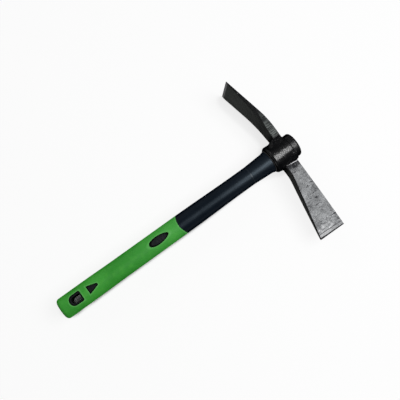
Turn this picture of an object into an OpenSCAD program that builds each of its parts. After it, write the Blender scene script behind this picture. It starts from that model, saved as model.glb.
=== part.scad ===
// Mattock with a short moulded handle, lying on its side.
// Millimetres, +Z up. The handle runs along X with the head at +X,
// the adze points to +Y and the axe blade to -Y.

/* [Handle] */
// Length from the butt to the top of the eye
tool_len = 400; // [370:1:440]
// Length of the soft grip from the butt to its front corners
grip_len = 200; // [185:1:215]
// Diameter of the soft grip at the butt
butt_d = 30.9; // [30:0.1:33]
// Diameter of the soft grip behind the jacket
grip_d = 30; // [28.4:0.1:30.6]
// Length of the thicker part at the butt
swell_len = 46; // [40:1:60]
// Length over which the thicker part eases into the grip
swell_ease_len = 50; // [30:1:70]
// Rounding of the butt
butt_round = 5; // [3:0.1:6]
// Thickness of the soft grip around the jacket
grip_wall = 2.4; // [1.8:0.1:2.7]
// Thickness of the soft grip over the end of the jacket
butt_wall = 4.5; // [3:0.1:7]
// Depth of the tongue that the jacket sends into the front of the grip
tongue_depth = 5.5; // [3:0.1:8]
// Smallest diameter of the jacket
waist_d = 28; // [26.5:0.1:29]
// Length over which the jacket eases down to its smallest diameter
waist_ease_len = 100; // [60:1:110]
// Diameter of the jacket below its lip
neck_d = 31.6; // [30:0.1:33]
// Length of the flare below the head
flare_len = 35; // [24:1:44]
// Length of the lip at the end of the jacket
lip_len = 4.5; // [3:0.1:8]
// Diameter of the lip at the end of the jacket
lip_d = 34.4; // [32.5:0.1:36]
// Rounding of the end of the jacket
neck_round = 0.8; // [0.4:0.1:1.2]

/* [Core rod] */
// Diameter of the rod inside the handle
rod_d = 19; // [16:0.5:20]
// Distance from the butt to the near end of the rod
rod_start = 42; // [40:1:60]

/* [Windows in the grip] */
// Depth of the jacket's faces below the surface of the grip
land_sink = 0.4; // [0.2:0.1:0.8]
// Distance from the butt to the frame of the hanging hole
hang_start = 15.5; // [14:0.5:19]
// Length of the frame of the hanging hole
hang_len = 19.2; // [17:0.1:21]
// Width of the frame of the hanging hole
hang_w = 15.7; // [13:0.1:17]
// Width of the rim between the frame and the hole, at the butt end and the sides
hang_rim = 3.4; // [2.4:0.1:3.8]
// Width of that rim towards the head
hang_front_rim = 1.9; // [1.2:0.1:2.6]
// Rounding of the square corners of the frame
hang_corner_r = 2.6; // [2:0.1:4]
// Rounding of the square corners of the hole
hang_hole_r = 1.5; // [0.8:0.1:2.4]
// Distance from the butt to the base of the arrow
arrow_start = 44.6; // [42:0.1:60]
// Length of the arrow to the point where its sides would meet
arrow_len = 21; // [16:0.1:26]
// Width of the arrow at its base
arrow_w = 12.7; // [9:0.1:14]
// Rounding of the arrow's tip
arrow_tip_r = 2.1; // [1:0.1:3]
// Rounding of the corners of the arrow's base
arrow_base_r = 0.6; // [0.3:0.1:1.2]
// Distance from the front corners of the grip to the oval
oval_back = 22.6; // [16:0.1:40]
// Length of the oval
oval_len = 32; // [22:0.1:36]
// Width of the oval
oval_w = 11.8; // [8:0.1:14]

/* [Eye] */
// Length of the eye along the handle
eye_len = 44.5; // [42:0.5:54]
// Outside diameter of the eye at its mouth
eye_mouth_d = 42.4; // [40:0.1:45]
// Outside diameter of the collar at the top of the eye
eye_top_d = 36.2; // [35:0.1:40]
// Length of the collar at the top of the eye
collar_len = 10.3; // [6:0.1:11]
// Height of the shoulder below the collar
collar_step = 0.7; // [0.3:0.1:1.5]
// Rounding of the mouth of the eye
eye_mouth_round = 4; // [2:0.1:5]
// Rounding of the top of the eye
eye_top_round = 3; // [1.5:0.1:3.5]
// Bore of the eye at its mouth
bore_mouth_d = 25; // [23:0.1:27]
// Bore of the eye at its top
bore_top_d = 27; // [26:0.1:28]
// Depth of the resin below the top of the eye
resin_sink = 1.4; // [0.5:0.1:4]

/* [Seal ring] */
// Thickness of the ring between the jacket and the eye
seal_t = 1.6; // [1:0.1:2.5]
// Depth of the lip of the ring in the bore
seal_lip_len = 3; // [2:0.1:6]

/* [Axe blade] */
// Distance from the handle's axis to the axe edge
axe_reach = 133.5; // [110:0.5:150]
// Length of the axe edge
axe_edge_w = 41.2; // [34:0.1:48]
// Width of the axe blade at the eye
axe_root_w = 20.4; // [15:0.1:22]
// Distance from the top of the eye to the straight side of the axe blade
axe_back = 13.3; // [11:0.1:16]
// Distance from the handle's axis to where the axe blade begins to widen
axe_neck = 36; // [30:0.5:50]
// Bend radius where the axe blade begins to widen
axe_neck_r = 60; // [20:1:100]
// Thickness of the axe blade at the eye
axe_root_t = 20.6; // [16:0.1:24]
// Distance from the axe edge to the fullest bend of the axe cheeks
axe_cheek = 53.5; // [40:0.5:70]
// Thickness of the axe blade at that bend
axe_cheek_t = 13.5; // [11:0.1:15]
// Bend radius of the axe cheeks
axe_cheek_r = 700; // [100:10:900]
// Thickness of the axe blade above its bevels
axe_tip_t = 3.2; // [2.4:0.1:5]
// Length of the axe bevels
axe_bevel = 5.6; // [3:0.1:9]
// Thickness of the blunt axe edge
axe_edge_t = 0.9; // [0.4:0.1:1.5]
// Distance that the axe edge falls back at its corner towards the butt
axe_edge_lean = 0.9; // [0:0.1:2]
// Distance that the bevels fall back at that corner
axe_bevel_lean = 1.9; // [0.5:0.1:3]
// Rounding of that corner
axe_corner_r = 1; // [0.4:0.1:2]
// Height of the step between the boss and the ground faces
axe_ledge = 1.2; // [0.6:0.1:2]
// Fillet beside the axe blade at its boss
axe_fillet = 2.2; // [1:0.1:3]

/* [Adze blade] */
// Distance from the handle's axis to the adze edge
adze_reach = 124; // [100:0.5:140]
// Length of the adze edge
adze_edge_w = 63.8; // [48:0.1:72]
// Width of the adze blade at the eye
adze_root_w = 31.2; // [26:0.1:32]
// Distance from the top of the eye to the outer face of the adze
adze_back = 13.5; // [11:0.1:16]
// Thickness of the adze blade at the eye
adze_root_t = 10.8; // [8:0.1:13]
// Thickness of the adze blade above its bevel
adze_tip_t = 1.9; // [1.4:0.1:3]
// Length of the adze bevel
adze_bevel = 4; // [2:0.1:8]
// Thickness of the blunt adze edge
adze_edge_t = 0.6; // [0.3:0.1:1.2]
// Distance that the adze edge lies below its outer face at the eye
adze_drop = 20.2; // [14:0.1:26]
// Distance from the handle's axis to the knee of the outer face
adze_knee = 47.5; // [42:0.5:56]
// Bend radius of the knee of the outer face
adze_knee_r = 150; // [60:1:160]
// Distance from the handle's axis to the knee of the inner face
adze_inner_knee = 56.5; // [48:0.5:64]
// Bend radius of the knee of the inner face
adze_inner_knee_r = 270; // [80:1:290]
// Fillet under the adze blade at its boss
adze_fillet = 2.4; // [1:0.1:3]

/* [Hidden] */
// Reach of the bosses that carry the blades, from the handle's axis
axe_boss = 20.8;
adze_boss = 22;
// Rounding of the bosses' edges, and how far the boss stands over the sides of the adze
axe_boss_round = 1.4;
adze_boss_round = 2.6;
adze_lip = 0.8;
// Distance that the bosses run on under the collar, past the blades
boss_run = 5;
// Bend radius of the eye's shoulder
shoulder_r = 2;
// Depth of the blades' blends inside the bosses
blend_sink = 0.2;
// Distance of the bosses' round part inside the eye's skin
boss_inset = 0.4;
// Flat between the two rounds at the butt end of the hanging hole
hang_flat = 0.4;
// Bend radius under the lip of the jacket
lip_ease_r = 6;
// Clearance of the seal ring's lip in the bore, and its inset under the jacket
seal_clear = 0.2;
seal_inset = 0.3;
// Narrowing of the oval towards the head
oval_taper_share = 0.16;
// Overrun of every cut
cut = 2;
// Segments of a turned surface, of a boss's corner, of a rounded corner, of an easing curve and of the oval
turn_fn = 96;
ball_fn = 24;
corner_steps = 8;
ease_steps = 12;
oval_steps = 40;
// Smallest tangent that counts as a rounded corner, and the most of a side that a corner takes
least_round = 0.01;
side_share = 0.75;

// Places along the handle, from the butt
eye_start = tool_len - eye_len;
jacket_end = eye_start - seal_t;
flare_start = jacket_end - flare_len;
lip_start = jacket_end - lip_len;
tongue_start = grip_len - tongue_depth;
oval_end = grip_len - oval_back;
rod_end = tool_len - resin_sink;
axe_x = tool_len - axe_back;
adze_x = tool_len - adze_back;
boss_start = eye_start + eye_mouth_round;
// Radius of the tongue's end, through both front corners of the grip
tongue_r = (pow(grip_d / 2, 2) + pow(tongue_depth, 2)) / (2 * tongue_depth);
// Height of the cuts through the handle
through_h = butt_d + 2 * cut;
// Place of the part: centred over its own floor
place_y = (axe_reach - adze_reach) / 2;
place_z = max(adze_edge_w, eye_mouth_d) / 2;

// Half a cosine wave from a to b while s goes from 0 to 1
function ease(a, b, s) = a + (b - a) * (1 - cos(180 * s)) / 2;

// Radius of the soft grip at x
function grip_r(x) =
    x <= swell_len ? butt_d / 2 :
    x >= swell_len + swell_ease_len ? grip_d / 2 :
    ease(butt_d / 2, grip_d / 2, (x - swell_len) / swell_ease_len);

// Radius of the bore of the eye at x
function bore_r(x) =
    (bore_mouth_d + (bore_top_d - bore_mouth_d) * (x - eye_start) / eye_len) / 2;

// Points of the arc that rounds corner b between a and c, within its sides; b is [x, y, radius]
function corner(a, b, c) =
    let (p = [b[0], b[1]],
         to_a = [a[0], a[1]] - p,
         to_c = [c[0], c[1]] - p,
         ua = to_a / norm(to_a),
         uc = to_c / norm(to_c),
         half = acos(max(-1, min(1, ua * uc))) / 2,
         tangent = min(b[2] / tan(half), side_share * min(norm(to_a), norm(to_c))),
         r = tangent * tan(half))
    tangent < least_round ? [p] :
    let (mid = (ua + uc) / norm(ua + uc),
         centre = p + mid * r / sin(half),
         from = p + ua * tangent - centre,
         start = atan2(from[1], from[0]),
         side = ua[0] * uc[1] - ua[1] * uc[0] > 0 ? -1 : 1,
         sweep = side * (180 - 2 * half))
    [for (i = [0 : corner_steps])
        let (turn = start + sweep * i / corner_steps)
        centre + r * [cos(turn), sin(turn)]];

// Outline through corners given as [x, y, radius]
function rounded(pts) =
    let (n = len(pts))
    [for (i = [0 : n - 1]) each corner(pts[(i + n - 1) % n], pts[i], pts[(i + 1) % n])];

// Solid of revolution about the handle's axis, from points [x, radius]
module turned(pts) {
    rotate([0, 90, 0]) rotate_extrude($fn = turn_fn) polygon([for (p = pts) [p[1], p[0]]]);
}

// Prism through the handle, from a plan outline
module through() {
    linear_extrude(height = through_h, center = true) children();
}

// Prism across the head, from an outline in Y and Z
module across(width) {
    rotate([90, 0, 90]) linear_extrude(height = width) children();
}

module placed() {
    translate([-tool_len / 2, place_y, place_z]) children();
}

// Points [x, radius] of the soft grip's skin, lowered by depth, from its easing to x_end
function skin(depth, x_end) = concat(
    [for (i = [0 : ease_steps])
        let (x = swell_len + swell_ease_len * i / ease_steps) [x, grip_r(x) - depth]],
    [[x_end, grip_d / 2 - depth]]);

// D-shaped outline between two x, round towards the butt
module d_outline(x0, x1, half, corner_r) {
    round_r = half - hang_flat;
    polygon(rounded([[x0, -half, round_r], [x1, -half, corner_r],
                     [x1, half, corner_r], [x0, half, round_r]]));
}

module hang_frame() {
    d_outline(hang_start, hang_start + hang_len, hang_w / 2, hang_corner_r);
}

module hang_hole() {
    d_outline(hang_start + hang_rim, hang_start + hang_len - hang_front_rim, hang_w / 2 - hang_rim, hang_hole_r);
}

module arrow_outline() {
    polygon(rounded([[arrow_start, -arrow_w / 2, arrow_base_r], [arrow_start + arrow_len, 0, arrow_tip_r],
                     [arrow_start, arrow_w / 2, arrow_base_r]]));
}

// Oval that narrows a little towards the head
module oval_outline() {
    translate([oval_end - oval_len / 2, 0])
        polygon([for (i = [0 : oval_steps - 1])
            let (a = 360 * i / oval_steps)
            [oval_len / 2 * cos(a), oval_w / 2 * sin(a) * (1 - oval_taper_share * cos(a))]]);
}

module windows() {
    hang_frame();
    arrow_outline();
    oval_outline();
}

// Plan of the jacket's full-thickness front, with its rounded tongue
module tongue_outline() {
    translate([tongue_start + tongue_r, 0]) circle(r = tongue_r, $fn = turn_fn);
    translate([tongue_start + tongue_r, -tongue_r]) square([jacket_end - tongue_start, 2 * tongue_r]);
}

// Jacket inside the soft grip
module jacket_core() {
    turned(concat(
        [[butt_wall, 0]],
        [[butt_wall, butt_d / 2 - butt_round], [butt_wall + butt_round - grip_wall, butt_d / 2 - grip_wall]],
        skin(grip_wall, grip_len + cut),
        [[grip_len + cut, 0]]));
}

// Jacket in front of the soft grip
module jacket_front() {
    intersection() {
        turned(concat(
            [[tongue_start - cut, 0], [tongue_start - cut, grip_d / 2]],
            [for (i = [0 : ease_steps])
                [grip_len + waist_ease_len * i / ease_steps,
                 ease(grip_d / 2, waist_d / 2, i / ease_steps)]],
            [[flare_start, waist_d / 2]],
            corner([flare_start, waist_d / 2], [lip_start, neck_d / 2, lip_ease_r], [jacket_end, lip_d / 2]),
            corner([lip_start, neck_d / 2], [jacket_end, lip_d / 2, neck_round], [jacket_end, 0]),
            [[jacket_end, 0]]));
        through() tongue_outline();
    }
}

// Faces of the jacket that show in the windows of the grip
module jacket_lands() {
    intersection() {
        turned(concat(
            [[hang_start - cut, 0], [hang_start - cut, butt_d / 2 - land_sink]],
            skin(land_sink, oval_end + cut),
            [[oval_end + cut, 0]]));
        through() windows();
    }
}

module handle_jacket() {
    color("#1d232b") placed() difference() {
        union() {
            jacket_core();
            jacket_front();
            jacket_lands();
        }
        translate([rod_start, 0, 0]) rotate([0, 90, 0])
            cylinder(d = rod_d, h = jacket_end - rod_start + cut, $fn = turn_fn);
        through() hang_hole();
    }
}

module grip_sleeve() {
    color("#3a9a34") placed() difference() {
        turned(concat(
            [[0, 0]],
            corner([0, 0], [0, butt_d / 2, butt_round], [swell_len, butt_d / 2]),
            skin(0, grip_len + cut),
            [[grip_len + cut, 0]]));
        jacket_core();
        through() tongue_outline();
        through() windows();
    }
}

module core_rod() {
    color("#d8d2b0") placed() translate([rod_start, 0, 0]) rotate([0, 90, 0])
        cylinder(d = rod_d, h = rod_end - rod_start, $fn = turn_fn);
}

module seal_ring() {
    color("#101012") placed() turned([
        [jacket_end, rod_d / 2],
        [jacket_end, lip_d / 2 - seal_inset],
        [eye_start, lip_d / 2 - seal_inset],
        [eye_start, bore_mouth_d / 2 - seal_clear],
        [eye_start + seal_lip_len, bore_mouth_d / 2 - seal_clear],
        [eye_start + seal_lip_len, rod_d / 2]]);
}

module epoxy_fill() {
    color("#5a4a2c") placed() turned([
        [eye_start + seal_lip_len, rod_d / 2],
        [eye_start + seal_lip_len, bore_r(eye_start + seal_lip_len)],
        [rod_end, bore_r(rod_end)],
        [rod_end, rod_d / 2]]);
}

// Round body of the eye, with a collar above its shoulder
module eye_body() {
    foot_x = tool_len - collar_len;
    mouth = [eye_start, eye_mouth_d / 2, eye_mouth_round];
    shoulder = [foot_x - 2 * collar_step, eye_top_d / 2 + collar_step, shoulder_r];
    foot = [foot_x, eye_top_d / 2, shoulder_r];
    top = [tool_len, eye_top_d / 2, eye_top_round];
    turned(concat(
        [[eye_start, 0]],
        corner([eye_start, 0], mouth, shoulder),
        corner(mouth, shoulder, foot),
        corner(shoulder, foot, top),
        corner(foot, top, [tool_len, 0]),
        [[tool_len, 0]]));
}

// Boss that swells from the eye to a blade's root: flat between two x, reach, height and edge rounding
module boss(x_low, x_high, reach, height, round_r) {
    hull() {
        translate([boss_start, 0, 0]) rotate([0, 90, 0])
            cylinder(d = eye_top_d - 2 * boss_inset, h = x_high + boss_run - boss_start, $fn = turn_fn / 2);
        for (x = [x_low, x_high], side = [-1, 1])
            translate([x, reach - round_r, side * (height / 2 - round_r)]) sphere(r = round_r, $fn = ball_fn);
    }
}

// Axe blade, drawn towards +Y: its plan, its wedge and its leaning bevels
module axe_blade() {
    left = axe_x - axe_root_w;
    flank = axe_boss - blend_sink;
    cheek_y = axe_reach - axe_cheek;
    width = axe_edge_w + axe_fillet + 2 * cut;
    // Thickness of the wedge where it would reach the edge without bevels
    run_t = axe_tip_t - (axe_cheek_t - axe_tip_t) * axe_bevel / (axe_cheek - axe_bevel);
    // Reach at which the two bevels would meet, and their spread at the axis
    bevel_slope = (axe_tip_t - axe_edge_t) / axe_bevel;
    meet_y = axe_reach + axe_edge_t / bevel_slope;
    spread_t = bevel_slope * meet_y;
    intersection() {
        linear_extrude(height = axe_root_t + 2 * cut, center = true) polygon(rounded([
            [axe_x + axe_fillet, 0, 0],
            [axe_x + axe_fillet, flank, 0],
            [axe_x, flank, axe_fillet],
            [axe_x, axe_reach, 0],
            [axe_x - axe_edge_w, axe_reach - axe_edge_lean, axe_corner_r],
            [left, axe_neck, axe_neck_r],
            [left, flank, axe_fillet],
            [left - axe_fillet, flank, 0],
            [left - axe_fillet, 0, 0]]));
        translate([axe_x - axe_edge_w - cut, 0, 0]) across(width) polygon(rounded([
            [0, -axe_root_t / 2, 0],
            [axe_boss, -axe_root_t / 2, 0],
            [cheek_y, -axe_cheek_t / 2, axe_cheek_r],
            [axe_reach, -run_t / 2, 0],
            [axe_reach, run_t / 2, 0],
            [cheek_y, axe_cheek_t / 2, axe_cheek_r],
            [axe_boss, axe_root_t / 2, 0],
            [0, axe_root_t / 2, 0]]));
        translate([axe_x, axe_reach, 0]) rotate([0, 0, atan(axe_bevel_lean / axe_edge_w)])
            translate([-axe_edge_w - cut, -axe_reach, 0]) across(width)
                polygon([[0, -spread_t / 2], [meet_y, 0], [0, spread_t / 2]]);
    }
}

// Adze blade: its bent, tapering profile and its flared width
module adze_blade() {
    inner = adze_x - adze_root_t;
    tip = adze_x - adze_drop;
    flank = adze_boss - blend_sink;
    bevel_y = adze_reach - adze_bevel;
    bevel_x = adze_x - adze_drop * (bevel_y - adze_knee) / (adze_reach - adze_knee);
    intersection() {
        linear_extrude(height = adze_edge_w + 2 * cut, center = true) polygon(rounded([
            [inner - adze_fillet, 0, 0],
            [inner - adze_fillet, flank, 0],
            [inner, flank, adze_fillet],
            [inner, adze_inner_knee, adze_inner_knee_r],
            [bevel_x - adze_tip_t, bevel_y, 0],
            [tip - adze_edge_t, adze_reach, 0],
            [tip, adze_reach, 0],
            [adze_x, adze_knee, adze_knee_r],
            [adze_x, 0, 0]]));
        translate([tip - adze_tip_t - cut, 0, 0])
            across(adze_drop + adze_tip_t + 2 * cut) polygon([
                [0, -adze_root_w / 2], [flank, -adze_root_w / 2], [adze_reach, -adze_edge_w / 2],
                [adze_reach, adze_edge_w / 2], [flank, adze_root_w / 2], [0, adze_root_w / 2]]);
    }
}

module mattock_head() {
    color("#2b2c2e") placed() difference() {
        union() {
            eye_body();
            boss(adze_x - adze_root_t - adze_fillet, adze_x - adze_boss_round, adze_boss,
                 adze_root_w + 2 * adze_lip, adze_boss_round);
            adze_blade();
            mirror([0, 1, 0]) {
                boss(axe_x - axe_root_w - axe_fillet, axe_x + axe_fillet, axe_boss,
                     axe_root_t + 2 * axe_ledge, axe_boss_round);
                axe_blade();
            }
        }
        turned([
            [eye_start - cut, 0],
            [eye_start - cut, bore_r(eye_start - cut)],
            [tool_len + cut, bore_r(tool_len + cut)],
            [tool_len + cut, 0]]);
    }
}

mattock_head();
core_rod();
handle_jacket();
grip_sleeve();
epoxy_fill();
seal_ring();
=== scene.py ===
import math
from types import SimpleNamespace

import bmesh
import bpy
from mathutils import Matrix, Vector


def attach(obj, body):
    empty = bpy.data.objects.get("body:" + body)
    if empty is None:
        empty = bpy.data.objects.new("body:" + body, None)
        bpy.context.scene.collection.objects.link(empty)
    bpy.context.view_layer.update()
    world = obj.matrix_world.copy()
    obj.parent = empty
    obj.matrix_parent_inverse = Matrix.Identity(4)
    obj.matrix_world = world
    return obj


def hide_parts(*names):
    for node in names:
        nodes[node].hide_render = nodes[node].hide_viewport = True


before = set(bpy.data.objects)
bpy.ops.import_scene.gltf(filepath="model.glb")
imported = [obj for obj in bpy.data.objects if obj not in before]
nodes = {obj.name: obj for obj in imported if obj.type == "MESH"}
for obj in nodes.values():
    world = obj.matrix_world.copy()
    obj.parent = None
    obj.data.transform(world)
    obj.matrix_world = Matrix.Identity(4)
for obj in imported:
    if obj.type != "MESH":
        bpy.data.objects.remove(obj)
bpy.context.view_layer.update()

# All places are in the part's frame, in metres. The handle runs along X from the butt to the
# head, the adze points to +Y and the axe to -Y. A pair is where a mask starts and ends, but for
# the pairs named place and radii, which are the centre of a spot and its half sizes.
AXIS_Y = 0.00475
AXIS_Z = 0.0319

# Windows of the grip: the frame of the hanging hole, the arrow and the oval
FRAME_ROUND_X = -0.17665
FRAME_RADIUS = 0.00785
FRAME_FRONT_X = -0.1653
FRAME_TO_ARROW_X = (-0.1605, -0.1600)
ARROW_POINT_X = -0.1344
ARROW_SLOPE = 0.3024
ARROW_SIDE_COSINE = 0.957
ARROW_BACK_X = -0.1554
ARROW_FRONT_X = -0.1397
ARROW_TO_OVAL_X = (-0.1005, -0.0995)
OVAL_X = -0.0386
OVAL_HALF_WIDTH = 0.0059
# one over the oval's half length and half width
OVAL_PER_LENGTH = 62.5
OVAL_PER_WIDTH = 169.5

# The hollow curve of the grip's front end, seen from above
GRIP_END_X = 0.0177
GRIP_END_RADIUS = 0.0232

# The jacket: where it leaves the grip, its moulding ring with a painted glint where it crosses
# the crown, and its lip
JACKET_BARE_X = (-0.012, -0.004)
RING_X = (0.1184, 0.1190)
RING_SOFT = 0.0004
RING_GLINT_PLACE = (0.1187, 0.0022)
RING_GLINT_RADII = (0.0009, 0.0030)
SHINE_Y = AXIS_Y - 0.0022
LIP_X = (0.1490, 0.1528)
LIP_SOFT = 0.0012

# The eye of the head
COLLAR_X = (0.1885, 0.1905)
EYE_END_X = (0.1968, 0.1990)
EYE_CHIP_PLACE = (0.1868, -0.0063)
EYE_CHIP_RADII = (0.0013, 0.0008)

# The axe, with reach measured from the handle's axis
AXE_BARE_REACH = (0.0208, 0.0214)
AXE_SIDE_X = 0.1663
AXE_FLARE_REACH = 0.036
AXE_FLARE = 0.2133
LEDGE_X = 0.1695
LEDGE_REACH = 0.0206
LEDGE_SLOPE = 0.13
LEDGE_START_X = (0.1674, 0.1690)
SMEAR_PLACE = (0.1795, 0.0272)
SMEAR_RADII = (0.0065, 0.0028)

# The axe's bevel leans; these distances are measured square to it
BEVEL_ZERO_X = 0.1867
BEVEL_LEAN = 0.0461
GLINT_LEAN = (0.105, 0.1268)
POLISH_LEAN = (0.1205, 0.1272)
POLISH_X = (0.153, 0.170)
BEVEL_GROOVE = (0.1274, 0.1280)
BEVEL_FACE = (0.1284, 0.1318)
BEVEL_EDGE = (0.1319, 0.1326)
BEVEL_SOFT = 0.0003

# The adze, with reach measured from the handle's axis
ADZE_BARE_REACH = (0.0222, 0.0232)
ADZE_FADE_REACH = (0.030, 0.080)
ADZE_NARROW_REACH = (0.036, 0.070)
ADZE_NARROW = 0.0040
ADZE_INNER_X = 0.1792
ADZE_INNER_SLOPE = 0.08
ADZE_BEND_REACH = 0.047
ADZE_TIP_REACH = (0.1196, 0.1202)
ADZE_CHIP_PLACE = (0.1699, 0.1063)
ADZE_CHIP_RADII = (0.0008, 0.0012)

# Shading of the head's corners, in degrees and metres
SHARP_ANGLE = 40
SAME_POINT = 2e-6

# The floor, with the contact shadow that it shows close under the handle
FLOOR_CORNERS = [(-120.0, -70.0, 0.0), (120.0, -70.0, 0.0), (0.0, 140.0, 0.0)]
FLOOR_GLOW = 0.86
CONTACT_RANGE = 0.022
CONTACT_SAMPLES = 32
CONTACT_OPEN_SHARE = (0.82, 0.95)
CONTACT_FADE_X = (0.07, 0.14)
CONTACT_AT_HEAD = 0.12

# Lamps and world
KEY_PLACE = (0.56, -0.32, 1.35)
KEY_AIM = (0.10, 0.0, 0.03)
KEY_SIZE = (0.95, 0.85)
KEY_WATTS = 17.0
FILL_PLACE = (-0.4, 1.6, 0.9)
FILL_AIM = (0.0, 0.0, 0.03)
FILL_SIZE = (1.8, 1.8)
FILL_WATTS = 8.5
WORLD_STRENGTH = 0.16

# Camera at the photo's view; the photo is a square, and its focal length is in its pixels
PHOTO_PIXELS = 400.0
FOCAL_PIXELS = 650.0
HALF_PIXEL = 0.5
SENSOR_MM = 36.0
CAMERA_PLACE = (-0.08408, -0.07763, 0.93229)
CAMERA_AIM = (0.04163, 0.01666, AXIS_Z)
CAMERA_ROLL = 35.716
CLIP_START = 0.01

WHITE = (1.0, 1.0, 1.0, 1.0)
MM = 0.001

# Settings that the shader calls share
SPOT_FADE = (0.7, 1.2)
GLOSS_FADE = (0.05, 0.5)
CORNER_SAMPLES = 6


class Mat:
    """A material, with short calls for the nodes that build it."""

    def __init__(self, name):
        self.m = bpy.data.materials.new(name)
        self.m.use_nodes = True
        self.t = self.m.node_tree
        self.t.nodes.clear()
        self.out = self.t.nodes.new("ShaderNodeOutputMaterial")
        self.bsdf = self.t.nodes.new("ShaderNodeBsdfPrincipled")
        self.t.links.new(self.bsdf.outputs[0], self.out.inputs[0])
        self.coord = self.t.nodes.new("ShaderNodeTexCoord").outputs["Object"]

    def put(self, value, socket):
        """Link a socket to another one, or set its value."""
        if isinstance(value, bpy.types.NodeSocket):
            self.t.links.new(value, socket)
        else:
            socket.default_value = value

    def set(self, **values):
        """Set inputs of the shader by name, with underscores for spaces."""
        for key, value in values.items():
            self.put(value, self.bsdf.inputs[key.replace("_", " ")])

    def math(self, op, a, b=0.0):
        n = self.t.nodes.new("ShaderNodeMath")
        n.operation = op
        self.put(a, n.inputs[0])
        self.put(b, n.inputs[1])
        return n.outputs[0]

    def add(self, a, b):
        return self.math("ADD", a, b)

    def sub(self, a, b):
        return self.math("SUBTRACT", a, b)

    def mul(self, a, b):
        return self.math("MULTIPLY", a, b)

    def least(self, a, b):
        return self.math("MINIMUM", a, b)

    def most(self, a, b):
        return self.math("MAXIMUM", a, b)

    def size(self, a):
        return self.math("ABSOLUTE", a)

    def inv(self, a):
        return self.sub(1.0, a)

    def far(self, a, b):
        """Length of the line with the two sides a and b."""
        return self.math("SQRT", self.add(self.mul(a, a), self.mul(b, b)))

    def step(self, a, low, high, to_low=0.0, to_high=1.0):
        """Smooth step of a: to_low below low, to_high above high."""
        n = self.t.nodes.new("ShaderNodeMapRange")
        n.interpolation_type = "SMOOTHSTEP"
        for key, value in enumerate((a, low, high, to_low, to_high)):
            self.put(value, n.inputs[key])
        return n.outputs[0]

    def band(self, a, low, high, soft):
        """1 from low to high, 0 outside, with soft ends."""
        return self.mul(self.step(a, low - soft, low), self.inv(self.step(a, high, high + soft)))

    def spot(self, a, b, centre, radii):
        """1 in an oval spot with soft sides."""
        u = self.mul(self.sub(a, centre[0]), 1.0 / radii[0])
        v = self.mul(self.sub(b, centre[1]), 1.0 / radii[1])
        return self.inv(self.step(self.far(u, v), *SPOT_FADE))

    def mix(self, f, a, b):
        """Mix of two colours."""
        n = self.t.nodes.new("ShaderNodeMix")
        n.data_type = "RGBA"
        self.put(f, n.inputs[0])
        for value, key in ((a, 6), (b, 7)):
            if isinstance(value, tuple):
                value = (*value, 1.0)
            self.put(value, n.inputs[key])
        return n.outputs[2]

    def over(self, base, colour, mask, share):
        """A colour laid over another one where a mask is 1, with a share of its strength."""
        return self.mix(self.mul(mask, share), base, colour)

    def blend(self, f, a, b):
        """Mix of two numbers."""
        n = self.t.nodes.new("ShaderNodeMix")
        n.data_type = "FLOAT"
        self.put(f, n.inputs[0])
        self.put(a, n.inputs[2])
        self.put(b, n.inputs[3])
        return n.outputs[0]

    def swap(self, f, a, b):
        """Mix of two vectors."""
        n = self.t.nodes.new("ShaderNodeMix")
        n.data_type = "VECTOR"
        self.put(f, n.inputs[0])
        self.put(a, n.inputs[4])
        self.put(b, n.inputs[5])
        return n.outputs[1]

    def place(self, scale=(1, 1, 1), turn=(0, 0, 0), move=(0, 0, 0)):
        """Object coordinates that are scaled, turned and moved."""
        n = self.t.nodes.new("ShaderNodeMapping")
        n.inputs["Location"].default_value = move
        n.inputs["Rotation"].default_value = turn
        n.inputs["Scale"].default_value = scale
        self.t.links.new(self.coord, n.inputs[0])
        return n.outputs[0]

    def noise(self, scale, detail, rough, at=None, warp=0.0):
        n = self.t.nodes.new("ShaderNodeTexNoise")
        self.t.links.new(at or self.coord, n.inputs["Vector"])
        n.inputs["Scale"].default_value = scale
        n.inputs["Detail"].default_value = detail
        n.inputs["Roughness"].default_value = rough
        n.inputs["Distortion"].default_value = warp
        return n.outputs["Fac"]

    def crack(self, scale, warp, width):
        """Thin bent lines between the cells of a warped pattern, width in mm."""
        bend = self.t.nodes.new("ShaderNodeTexNoise")
        bend.inputs["Scale"].default_value = scale
        bend.inputs["Detail"].default_value = 2.0
        self.t.links.new(self.coord, bend.inputs["Vector"])
        shift = self.t.nodes.new("ShaderNodeVectorMath")
        shift.operation = "MULTIPLY_ADD"
        shift.inputs[1].default_value = (warp, warp, warp)
        self.t.links.new(bend.outputs["Color"], shift.inputs[0])
        self.t.links.new(self.coord, shift.inputs[2])
        n = self.t.nodes.new("ShaderNodeTexVoronoi")
        n.feature = "DISTANCE_TO_EDGE"
        n.inputs["Scale"].default_value = scale
        self.t.links.new(shift.outputs[0], n.inputs["Vector"])
        wide = width * MM * scale
        return self.inv(self.step(n.outputs["Distance"], wide * 0.3, wide))

    def xyz(self, vector=None):
        n = self.t.nodes.new("ShaderNodeSeparateXYZ")
        self.t.links.new(vector or self.coord, n.inputs[0])
        return n.outputs[0], n.outputs[1], n.outputs[2]

    def normal(self):
        return self.t.nodes.new("ShaderNodeNewGeometry").outputs["Normal"]

    def turned_normal(self, back):
        """Normal of a surface turned about the handle's axis, tipped a little to the butt."""
        _, y, z = self.xyz()
        n = self.t.nodes.new("ShaderNodeCombineXYZ")
        n.inputs[0].default_value = -back
        self.put(self.sub(y, AXIS_Y), n.inputs[1])
        self.put(self.sub(z, AXIS_Z), n.inputs[2])
        unit = self.t.nodes.new("ShaderNodeVectorMath")
        unit.operation = "NORMALIZE"
        self.put(n.outputs[0], unit.inputs[0])
        return unit.outputs[0]

    def rounded(self, radius):
        """Normal with the corners rounded off."""
        n = self.t.nodes.new("ShaderNodeBevel")
        n.samples = CORNER_SAMPLES
        self.put(radius, n.inputs["Radius"])
        return n.outputs[0]

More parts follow.
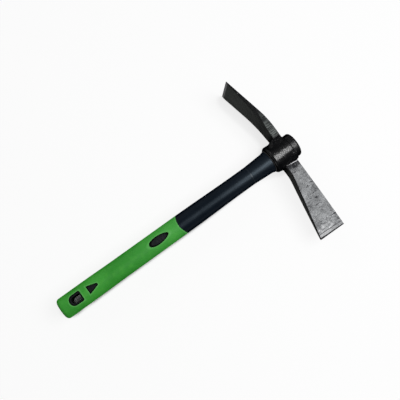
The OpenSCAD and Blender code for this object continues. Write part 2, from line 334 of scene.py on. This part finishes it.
    def edge(self, radius, low, high):
        """1 along the corners, where the rounded normal departs from the true one."""
        n = self.t.nodes.new("ShaderNodeVectorMath")
        n.operation = "DOT_PRODUCT"
        self.t.links.new(self.rounded(radius), n.inputs[0])
        self.t.links.new(self.normal(), n.inputs[1])
        return self.step(self.inv(n.outputs["Value"]), low, high)

    def fading_gloss(self, level):
        """Gloss that fades where the surface is seen at a slant."""
        n = self.t.nodes.new("ShaderNodeLayerWeight")
        n.inputs["Blend"].default_value = 0.5
        return self.step(n.outputs["Facing"], *GLOSS_FADE, level, 0.0)

    def bump(self, height, distance, strength, normal):
        n = self.t.nodes.new("ShaderNodeBump")
        n.inputs["Strength"].default_value = strength
        n.inputs["Distance"].default_value = distance
        self.t.links.new(height, n.inputs["Height"])
        self.t.links.new(normal, n.inputs["Normal"])
        return n.outputs[0]

    def window_depth(self, x, y):
        """Distance inside the nearest outline of the grip's windows, less than 0 outside."""
        across = self.size(self.sub(y, AXIS_Y))
        # the frame of the hanging hole
        back = self.least(self.sub(x, FRAME_ROUND_X), 0.0)
        frame_in = self.sub(FRAME_RADIUS, self.far(back, across))
        frame_in = self.least(frame_in, self.sub(FRAME_FRONT_X, x))
        # the arrow
        half_width = self.mul(self.sub(ARROW_POINT_X, x), ARROW_SLOPE)
        arrow_in = self.mul(self.sub(half_width, across), ARROW_SIDE_COSINE)
        arrow_in = self.least(arrow_in, self.sub(x, ARROW_BACK_X))
        arrow_in = self.least(arrow_in, self.sub(ARROW_FRONT_X, x))
        # the oval
        u = self.mul(self.sub(x, OVAL_X), OVAL_PER_LENGTH)
        v = self.mul(across, OVAL_PER_WIDTH)
        oval_in = self.mul(self.inv(self.far(u, v)), OVAL_HALF_WIDTH)
        near_butt = self.blend(self.step(x, *FRAME_TO_ARROW_X), frame_in, arrow_in)
        return self.blend(self.step(x, *ARROW_TO_OVAL_X), near_butt, oval_in)


def grip_material():
    """Matt green rubber, with painted light towards the front, painted shade on the axe's side,
    and lighter along its edges.
    """
    deep_green = (0.032, 0.275, 0.027)
    fresh_green = (0.049, 0.345, 0.038)
    patch_green = (0.066, 0.365, 0.037)
    speck_green = (0.018, 0.130, 0.018)
    front_lit_green = (0.100, 0.470, 0.095)
    shade_green = (0.012, 0.170, 0.012)
    rim_green = (0.115, 0.440, 0.105)
    worn_green = (0.135, 0.440, 0.115)
    m = Mat("grip_green")
    x, y, _ = m.xyz()
    cloud = m.noise(38, 3, 0.55)
    patch = m.noise(150, 2, 0.5)
    speck = m.noise(900, 1, 0.5)
    base = m.mix(m.step(cloud, 0.32, 0.68), deep_green, fresh_green)
    base = m.over(base, patch_green, m.step(patch, 0.52, 0.72), 0.4)
    base = m.over(base, speck_green, m.step(speck, 0.68, 0.76), 0.35)
    # painted light: the grip is made lighter towards the front, as if lit more strongly nearer
    # the head
    base = m.mix(m.step(x, -0.12, 0.0, 0.0, 0.30), base, front_lit_green)
    # painted shade on the side of the axe
    base = m.mix(m.step(y, -0.0100, -0.0025, 0.30, 0.0), base, shade_green)
    # a lighter rim along the windows and the front end
    outside = m.mul(m.window_depth(x, y), -1.0)
    front_end = m.sub(m.far(m.sub(x, GRIP_END_X), m.sub(y, AXIS_Y)), GRIP_END_RADIUS)
    rim = m.inv(m.step(m.least(outside, front_end), 0.0007, 0.0022))
    base = m.over(base, rim_green, rim, 0.6)
    base = m.over(base, worn_green, m.edge(0.0010, 0.02, 0.2), 0.6)
    m.set(Base_Color=base)
    m.set(Roughness=m.step(patch, 0.3, 0.7, 0.46, 0.58))
    m.set(Specular_IOR_Level=m.fading_gloss(0.20))
    grain = m.add(m.mul(m.noise(2600, 2, 0.6), 0.7), m.mul(m.noise(700, 2, 0.5), 0.3))
    m.set(Normal=m.bump(grain, 0.00008, 0.35, m.rounded(0.0006)))
    return m.m


def jacket_material():
    """Navy plastic, glossier towards the head and duller in the grip's windows."""
    deep_navy = (0.0018, 0.0040, 0.0078)
    navy = (0.0032, 0.0060, 0.0108)
    speck_navy = (0.015, 0.019, 0.025)
    worn_navy = (0.016, 0.020, 0.026)
    ring_navy = (0.020, 0.024, 0.030)
    ring_glint_grey = (0.110, 0.118, 0.126)
    inlay_dark = (0.0075, 0.0075, 0.0078)
    inlay_light = (0.0160, 0.0158, 0.0162)
    inlay_butt = (0.004, 0.0038, 0.0038)
    inlay_edge_shade = (0.0008, 0.0008, 0.0010)
    blue_shine = (0.68, 0.85, 1.0, 1.0)
    m = Mat("jacket_navy")
    x, y, _ = m.xyz()
    cloud = m.noise(45, 3, 0.55)
    streak = m.noise(60, 3, 0.6, m.place((1.2, 14, 14)))
    speck = m.noise(1100, 1, 0.5)
    base = m.mix(m.step(cloud, 0.3, 0.7), deep_navy, navy)
    base = m.over(base, speck_navy, m.step(speck, 0.72, 0.80), 0.35)
    base = m.over(base, worn_navy, m.edge(0.0007, 0.03, 0.25), 0.35)
    ring = m.band(x, *RING_X, RING_SOFT)
    base = m.over(base, ring_navy, ring, 0.5)
    # painted glint where the moulding ring crosses the crown's highlight
    base = m.over(base, ring_glint_grey, m.spot(x, y, RING_GLINT_PLACE, RING_GLINT_RADII), 0.8)
    # the faces in the grip's windows are duller than the bare jacket, with painted shade along
    # their borders under the grip's walls
    front = m.step(x, *JACKET_BARE_X)
    window_shade_band = m.inv(m.step(m.window_depth(x, y), 0.0006, 0.0022))
    mark = m.noise(520, 2, 0.5, m.place((1.0, 0.35, 1.0)))
    inlay = m.mix(m.step(mark, 0.35, 0.65), inlay_dark, inlay_light)
    inlay = m.mix(m.step(x, -0.12, -0.08, 0.45, 0.0), inlay, inlay_butt)
    inlay = m.over(inlay, inlay_edge_shade, window_shade_band, 0.92)
    m.set(Base_Color=m.mix(front, inlay, base))
    m.set(Roughness=m.blend(front, 0.62, m.step(streak, 0.3, 0.7, 0.35, 0.46)))
    inlay_gloss = m.fading_gloss(m.mul(m.inv(m.mul(window_shade_band, 0.9)), 0.15))
    # the gloss is strongest along the crown, and narrower near the head
    from_crown = m.size(m.sub(y, SHINE_Y))
    beside = m.mul(m.step(from_crown, 0.0045, 0.0090), m.step(x, 0.05, 0.12, 0.0, 0.50))
    level = m.step(x, 0.045, 0.155, 0.150, 0.41)
    bare_gloss = m.fading_gloss(m.mul(level, m.inv(beside)))
    m.set(Specular_IOR_Level=m.blend(front, inlay_gloss, bare_gloss))
    m.set(Specular_Tint=blue_shine)
    grain = m.add(m.mul(m.noise(2200, 2, 0.6), 0.5), m.mul(streak, 0.5))
    lip = m.band(x, *LIP_X, LIP_SOFT)
    normal = m.swap(lip, m.rounded(0.0005), m.turned_normal(0.001))
    m.set(Normal=m.bump(ring, 0.0002, 0.6, m.bump(grain, 0.00008, 0.3, normal)))
    return m.m


def head_places(m):
    """Distances, masks and patterns that the parts of the head's material share."""
    h = SimpleNamespace()
    h.x, h.y, _ = m.xyz()
    h.nx, _, nz = m.xyz(m.normal())
    h.up = m.size(nz)
    h.flat = m.step(h.up, 0.72, 0.86)
    h.reach = m.sub(h.y, AXIS_Y)
    h.away = m.size(h.reach)
    h.axe = m.mul(h.reach, -1.0)
    h.lean = m.add(h.axe, m.mul(m.sub(BEVEL_ZERO_X, h.x), BEVEL_LEAN))
    # distance beyond the ledge where the axe leaves the eye
    ledge_reach = m.add(m.mul(m.sub(h.x, LEDGE_X), LEDGE_SLOPE), LEDGE_REACH)
    h.past = m.sub(h.axe, ledge_reach)
    h.collar = m.step(h.x, *COLLAR_X)
    h.blade = m.step(h.away, 0.022, 0.028)
    h.thin = m.mul(m.step(h.away, 0.020, 0.034), m.inv(m.mul(h.flat, 0.95)))
    # patterns
    h.fray = m.mul(m.sub(m.noise(160, 3, 0.6), 0.5), 0.0022)
    h.mottle = m.noise(70, 2.5, 0.5, warp=0.5)
    h.blotch = m.noise(210, 3, 0.55)
    h.scratch = m.noise(300, 3, 0.65, m.place((1.0, 4.5, 1.0), (0, 0, 0.25)))
    dent_place = m.place((0.9, 4.0, 1.0), (0, 0, 0.12), (0.3, 0.1, 0.0))
    h.dent = m.noise(110, 2, 0.5, dent_place, 0.6)
    h.lines = m.noise(330, 2, 0.5, m.place((0.25, 2.2, 0.25), (0, 0, -0.2)))
    h.grain = m.noise(520, 3, 0.6)
    return h


def mark_bare_areas(m, h):
    """Where the head is ground bare: the axe faces, the sides of the adze and its edge."""
    # the axe faces, inside a painted margin on the butt side
    axe_in = m.step(m.add(h.axe, m.mul(h.fray, 0.5)), *AXE_BARE_REACH)
    flare = m.mul(m.most(m.sub(h.axe, AXE_FLARE_REACH), 0.0), AXE_FLARE)
    from_side = m.add(m.sub(h.x, m.sub(AXE_SIDE_X, flare)), m.mul(h.fray, 0.6))
    margin = m.step(h.axe, 0.03, 0.13, 0.0018, 0.0009)
    axe_bare = m.mul(m.mul(axe_in, h.flat), m.step(m.sub(from_side, margin), -0.0002, 0.0004))
    # the sides of the adze, near the eye
    h.adze_in = m.step(m.add(h.reach, m.mul(h.fray, 0.6)), *ADZE_BARE_REACH)
    fade = m.step(m.add(h.reach, m.mul(h.fray, 4.0)), *ADZE_FADE_REACH, 1.0, 0.0)
    # the bare strip narrows towards the tip, away from the inner face
    inner_x = m.sub(ADZE_INNER_X, m.mul(m.most(h.reach, ADZE_BEND_REACH), ADZE_INNER_SLOPE))
    painted = m.step(h.reach, *ADZE_NARROW_REACH, 0.0, ADZE_NARROW)
    fade = m.mul(fade, m.step(m.sub(m.sub(h.x, inner_x), painted), -0.0002, 0.0008))
    rim = m.edge(0.0014, 0.01, 0.15)
    adze_side = m.mul(m.mul(h.adze_in, h.flat), m.mul(fade, m.inv(m.mul(rim, 0.85))))
    # the edge of the adze, on the side that faces the butt
    h.adze_tip = m.mul(m.step(h.reach, *ADZE_TIP_REACH), m.step(m.mul(h.nx, -1.0), 0.2, 0.5))
    h.bare = m.most(m.most(axe_bare, adze_side), h.adze_tip)


def steel_colour(m, h):
    """Bare steel: mottled, dented and scratched, darker near the eye, bright at the bevel."""
    dark_steel = (0.074, 0.076, 0.078)
    steel_grey = (0.122, 0.125, 0.128)
    blotch_grey = (0.150, 0.153, 0.156)
    polish_grey = (0.205, 0.208, 0.211)
    glint_grey = (0.22, 0.222, 0.225)
    scratch_grey = (0.030, 0.030, 0.033)
    dent_black = (0.010, 0.010, 0.012)
    eye_end_grey = (0.030, 0.031, 0.033)
    crack_grey = (0.022, 0.022, 0.024)
    smear_black = (0.005, 0.005, 0.006)
    adze_grey = (0.048, 0.052, 0.050)
    adze_line = (0.012, 0.013, 0.013)
    groove_black = (0.012, 0.012, 0.014)
    bevel_bright = (0.225, 0.227, 0.230)
    bevel_grey = (0.125, 0.127, 0.130)
    edge_dark_reflection = (0.006, 0.006, 0.007)
    steel = m.mix(m.step(h.mottle, 0.28, 0.72), dark_steel, steel_grey)
    steel = m.over(steel, blotch_grey, m.step(h.blotch, 0.52, 0.72), 0.28)
    polish = m.mul(m.band(h.x, *POLISH_X, 0.009), m.band(h.lean, *POLISH_LEAN, 0.004))
    steel = m.over(steel, polish_grey, polish, m.step(h.blotch, 0.36, 0.58))
    fleck = m.noise(420, 2, 0.6, m.place((1.0, 1.6, 1.0), (0, 0, 0.3)))
    glint = m.mul(m.step(fleck, 0.58, 0.70), m.band(h.lean, *GLINT_LEAN, 0.020))
    steel = m.over(steel, glint_grey, glint, 0.7)
    steel = m.over(steel, scratch_grey, m.step(h.scratch, 0.60, 0.72), 0.4)
    steel = m.over(steel, dent_black, m.step(h.dent, 0.645, 0.680), 0.92)
    steel = m.mix(m.step(h.axe, 0.026, 0.054, 0.32, 0.0), steel, eye_end_grey)
    broken = m.step(m.noise(85, 2, 0.5, m.place(move=(0.2, 0.0, 0.0))), 0.46, 0.56)
    steel = m.over(steel, crack_grey, m.mul(m.crack(95, 0.012, 0.6), broken), 0.6)
    # a dark smear beyond the ledge where the axe leaves the eye
    hatch = m.noise(330, 2, 0.5, m.place((2.2, 0.5, 1.0), (0, 0, 0.35)))
    smear = m.mul(m.inv(m.step(h.past, 0.0034, 0.0100)), m.step(hatch, 0.34, 0.52, 0.5, 1.0))
    dark_end = m.spot(h.x, h.axe, SMEAR_PLACE, SMEAR_RADII)
    dark_end = m.mul(dark_end, m.step(hatch, 0.36, 0.50, 0.45, 1.0))
    steel = m.over(steel, smear_black, m.most(smear, dark_end), 0.93)
    # the sides of the adze, with lines across them
    adze_tone = m.mix(m.step(h.lines, 0.40, 0.60), adze_grey, adze_line)
    steel = m.over(steel, adze_tone, h.adze_in, m.inv(h.adze_tip))
    # the bevel of the axe, with a groove above it, and a painted dark reflection along the
    # rounded cutting edge
    steel = m.over(steel, groove_black, m.band(h.lean, *BEVEL_GROOVE, BEVEL_SOFT), 0.85)
    bevel_tone = m.mix(m.step(h.x, 0.155, 0.180), bevel_bright, bevel_grey)
    steel = m.over(steel, bevel_tone, m.band(h.lean, *BEVEL_FACE, BEVEL_SOFT), 0.8)
    return m.over(steel, edge_dark_reflection, m.step(h.lean, *BEVEL_EDGE), 0.95)


def paint_colour(m, h):
    """Paint: black on the eye, thinner and greyer on the blades, worn through at some edges."""
    deep_black = (0.0018, 0.0019, 0.0024)
    soft_black = (0.0036, 0.0038, 0.0044)
    dark_grey = (0.030, 0.0318, 0.0308)
    mid_grey = (0.047, 0.0490, 0.0475)
    tip_grey = (0.068, 0.0715, 0.0695)
    worn_steel = (0.17, 0.17, 0.175)
    cloud = m.noise(120, 3, 0.6)
    black = m.mix(m.step(cloud, 0.3, 0.7), deep_black, soft_black)
    grey = m.mix(m.step(h.mottle, 0.3, 0.7), dark_grey, mid_grey)
    grey = m.mix(m.step(h.reach, 0.045, 0.085, 0.0, 0.55), grey, tip_grey)
    paint = m.mix(h.thin, black, grey)
    # a bright ledge where the axe leaves the eye
    ledge = m.mul(m.band(h.past, -0.0006, 0.0003, 0.0004), m.step(h.up, 0.30, 0.5))
    h.ledge = m.mul(ledge, m.step(h.x, *LEDGE_START_X))
    # chips along the corners, few on the eye and on the outer adze, and two single ones
    chipped = m.mul(m.edge(0.0005, 0.06, 0.4), m.step(h.blotch, 0.52, 0.70))
    often = m.add(m.mul(h.blade, 0.5), 0.10)
    chipped = m.mul(chipped, m.mul(often, m.step(h.reach, 0.045, 0.075, 1.0, 0.1)))
    eye_chip = m.spot(h.x, h.y, EYE_CHIP_PLACE, EYE_CHIP_RADII)
    adze_chip = m.mul(m.spot(h.x, h.y, ADZE_CHIP_PLACE, ADZE_CHIP_RADII), 0.25)
    h.worn = m.most(m.most(chipped, h.ledge), m.most(eye_chip, adze_chip))
    return m.mix(h.worn, paint, worn_steel)


def head_material():
    """Black paint on a forging, with the axe faces and the sides of the adze ground bare."""
    m = Mat("head_black_and_ground")
    h = head_places(m)
    mark_bare_areas(m, h)
    steel = steel_colour(m, h)
    paint = paint_colour(m, h)
    bare = m.mul(h.bare, m.inv(h.ledge))
    m.set(Base_Color=m.mix(bare, paint, steel))
    m.set(Metallic=m.mul(m.most(bare, m.mul(h.worn, 0.8)), 0.85))
    gloss = m.add(m.step(h.grain, 0.3, 0.7, 0.15, 0.30), m.mul(h.collar, 0.12))
    ground = m.step(h.scratch, 0.3, 0.7, 0.34, 0.52)
    m.set(Roughness=m.blend(bare, m.blend(h.thin, gloss, 0.5), ground))
    # the paint shines along the crown of the eye and is dull on the bosses and blades
    adze_side_level = m.blend(h.collar, 0.26, 0.8)
    crown = m.step(h.reach, -0.0150, -0.0085, 0.07, 1.0)
    crown = m.mul(crown, m.step(h.reach, 0.0030, 0.0100, 1.0, adze_side_level))
    end_level = m.step(h.x, *EYE_END_X, 1.0, 0.45)
    crown = m.mul(crown, m.mul(m.blend(h.collar, 1.0, 0.66), end_level))
    crown = m.mul(crown, m.step(m.noise(760, 2, 0.6), 0.38, 0.60, 0.30, 0.92))
    m.set(Specular_IOR_Level=m.blend(h.blade, m.fading_gloss(crown), m.fading_gloss(0.02)))
    # relief: cast grain under the paint, scratches and dents in the bare steel
    pit = m.noise(1500, 2, 0.5)
    lump = m.noise(300, 2, 0.5)
    cast_grain = m.add(m.add(m.mul(h.grain, 0.9), m.mul(pit, 0.2)), m.mul(lump, 0.7))
    marks = m.add(m.mul(h.scratch, 0.22), m.mul(h.dent, 0.7))
    marks = m.add(marks, m.mul(m.mul(h.lines, h.adze_in), 0.4))
    height = m.blend(bare, cast_grain, m.mul(marks, 0.5))
    corner_radius = m.blend(m.step(h.away, 0.024, 0.030), 0.0016, 0.0004)
    m.set(Normal=m.bump(height, 0.0003, 0.75, m.rounded(corner_radius)))
    return m.m


def seal_material():
    """Matt black rubber."""
    deep_black = (0.004, 0.004, 0.0045)
    soft_black = (0.009, 0.009, 0.0095)
    m = Mat("seal_black")
    cloud = m.noise(300, 2, 0.5)
    m.set(Base_Color=m.mix(cloud, deep_black, soft_black))
    m.set(Roughness=m.step(cloud, 0.3, 0.7, 0.55, 0.7))
    m.set(Specular_IOR_Level=0.25)
    m.set(Normal=m.bump(m.noise(1800, 2, 0.5), 0.0001, 0.3, m.rounded(0.0004)))
    return m.m


def rod_material():
    """Pale glass fibre with its grain along the handle."""
    dark_straw = (0.42, 0.36, 0.20)
    pale_straw = (0.66, 0.60, 0.40)
    m = Mat("rod_glass_fibre")
    fibre = m.noise(900, 2, 0.5, m.place((0.02, 1.0, 1.0)))
    m.set(Base_Color=m.mix(m.step(fibre, 0.35, 0.65), dark_straw, pale_straw))
    m.set(Roughness=m.step(fibre, 0.3, 0.7, 0.45, 0.62))
    m.set(Normal=m.bump(fibre, 0.0002, 0.5, m.rounded(0.0004)))
    return m.m


def resin_material():
    """Cast amber resin."""
    dark_amber = (0.10, 0.055, 0.020)
    pale_amber = (0.19, 0.115, 0.045)
    m = Mat("resin_amber")
    cloud = m.noise(240, 3, 0.55)
    m.set(Base_Color=m.mix(m.step(cloud, 0.3, 0.7), dark_amber, pale_amber))
    m.set(Roughness=m.step(cloud, 0.3, 0.7, 0.16, 0.3))
    m.set(Normal=m.bump(cloud, 0.0006, 0.4, m.rounded(0.0005)))
    return m.m


def floor_material():
    """Pale floor that shows nearly white and keeps the tool's shadow."""
    off_white = (0.94, 0.94, 0.94)
    near_white = (0.97, 0.97, 0.97)
    shadow_grey = (0.075, 0.075, 0.077)
    m = Mat("floor_white")
    white = m.mix(m.noise(6, 2, 0.5), off_white, near_white)
    # contact shadow where the handle lies close above the floor, lighter at the head
    x, _, _ = m.xyz()
    near = m.t.nodes.new("ShaderNodeAmbientOcclusion")
    near.samples = CONTACT_SAMPLES
    near.inputs["Distance"].default_value = CONTACT_RANGE
    hidden = m.step(near.outputs["AO"], *CONTACT_OPEN_SHARE, 1.0, 0.0)
    clear = m.inv(m.mul(hidden, m.step(x, *CONTACT_FADE_X, 1.0, CONTACT_AT_HEAD)))
    m.set(Base_Color=m.mix(clear, shadow_grey, white))
    m.set(Roughness=0.7)
    m.set(Specular_IOR_Level=0.1)
    # a share of plain white where the floor is seen, straight or in a reflection
    ray = m.t.nodes.new("ShaderNodeLightPath").outputs
    seen = m.add(m.add(ray["Is Camera Ray"], ray["Is Glossy Ray"]), ray["Is Transmission Ray"])
    glow = m.t.nodes.new("ShaderNodeEmission")
    glow.inputs[0].default_value = WHITE
    both = m.t.nodes.new("ShaderNodeMixShader")
    m.put(m.mul(m.least(seen, 1.0), m.mul(clear, FLOOR_GLOW)), both.inputs[0])
    m.put(m.bsdf.outputs[0], both.inputs[1])
    m.put(glow.outputs[0], both.inputs[2])
    m.put(both.outputs[0], m.out.inputs[0])
    return m.m


def add_object(name, data):
    obj = bpy.data.objects.new(name, data)
    bpy.context.scene.collection.objects.link(obj)
    return obj


def dress(obj, material):
    obj.data.materials.clear()
    obj.data.materials.append(material)


def make_head(material):
    """The head's solid with its corners shaded softly, as one forging."""
    mesh = bpy.data.meshes.new("head_forging")
    b = bmesh.new()
    b.from_mesh(nodes["mattock_head"].data)
    bmesh.ops.remove_doubles(b, verts=b.verts, dist=SAME_POINT)
    for f in b.faces:
        f.smooth = True
    b.to_mesh(mesh)
    b.free()
    if "custom_normal" in mesh.attributes:
        mesh.attributes.remove(mesh.attributes["custom_normal"])
    mesh.set_sharp_from_angle(angle=math.radians(SHARP_ANGLE))
    head = add_object("head_forging", mesh)
    w = head.modifiers.new("weighted", "WEIGHTED_NORMAL")
    w.keep_sharp = True
    w.mode = "FACE_AREA_WITH_ANGLE"
    dress(head, material)
    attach(head, "root")
    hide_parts("mattock_head")


def make_floor(material):
    """One large triangle, so that no seam runs under the tool."""
    mesh = bpy.data.meshes.new("floor")
    mesh.from_pydata(FLOOR_CORNERS, [], [(0, 1, 2)])
    floor = add_object("floor", mesh)
    dress(floor, material)


def looking(place, back, right):
    """Matrix at a place, with its back along back and its right side near right."""
    right = (right - back * right.dot(back)).normalized()
    above = back.cross(right)
    return Matrix((
        (right.x, above.x, back.x, place.x),
        (right.y, above.y, back.y, place.y),
        (right.z, above.z, back.z, place.z),
        (0.0, 0.0, 0.0, 1.0)))


def area_light(name, place, aim, size, watts):
    data = bpy.data.lights.new(name, "AREA")
    data.shape = "RECTANGLE"
    data.size = size[0]
    data.size_y = size[1]
    data.energy = watts
    light = add_object(name, data)
    place = Vector(place)
    back = (place - Vector(aim)).normalized()
    light.matrix_world = looking(place, back, Vector((1.0, 0.0, 0.0)))


def make_light():
    area_light("key", KEY_PLACE, KEY_AIM, KEY_SIZE, KEY_WATTS)
    area_light("fill", FILL_PLACE, FILL_AIM, FILL_SIZE, FILL_WATTS)
    world = bpy.data.worlds.new("studio")
    world.use_nodes = True
    background = world.node_tree.nodes["Background"]
    background.inputs[0].default_value = WHITE
    background.inputs[1].default_value = WORLD_STRENGTH
    bpy.context.scene.world = world


def make_camera():
    data = bpy.data.cameras.new("photo_view")
    data.sensor_fit = "HORIZONTAL"
    data.sensor_width = SENSOR_MM
    data.lens = FOCAL_PIXELS / PHOTO_PIXELS * SENSOR_MM
    data.shift_x = -HALF_PIXEL / PHOTO_PIXELS
    data.shift_y = HALF_PIXEL / PHOTO_PIXELS
    data.clip_start = CLIP_START
    cam = add_object("photo_view", data)
    place = Vector(CAMERA_PLACE)
    back = (place - Vector(CAMERA_AIM)).normalized()
    roll = math.radians(CAMERA_ROLL)
    right = Vector((math.cos(roll), -math.sin(roll), 0.0))
    cam.matrix_world = looking(place, back, right)
    bpy.context.scene.camera = cam


make_head(head_material())
dress(nodes["handle_jacket"], jacket_material())
dress(nodes["grip_sleeve"], grip_material())
dress(nodes["seal_ring"], seal_material())
dress(nodes["core_rod"], rod_material())
dress(nodes["epoxy_fill"], resin_material())
make_floor(floor_material())
make_light()
make_camera()
bpy.context.scene.view_settings.view_transform = "Standard"
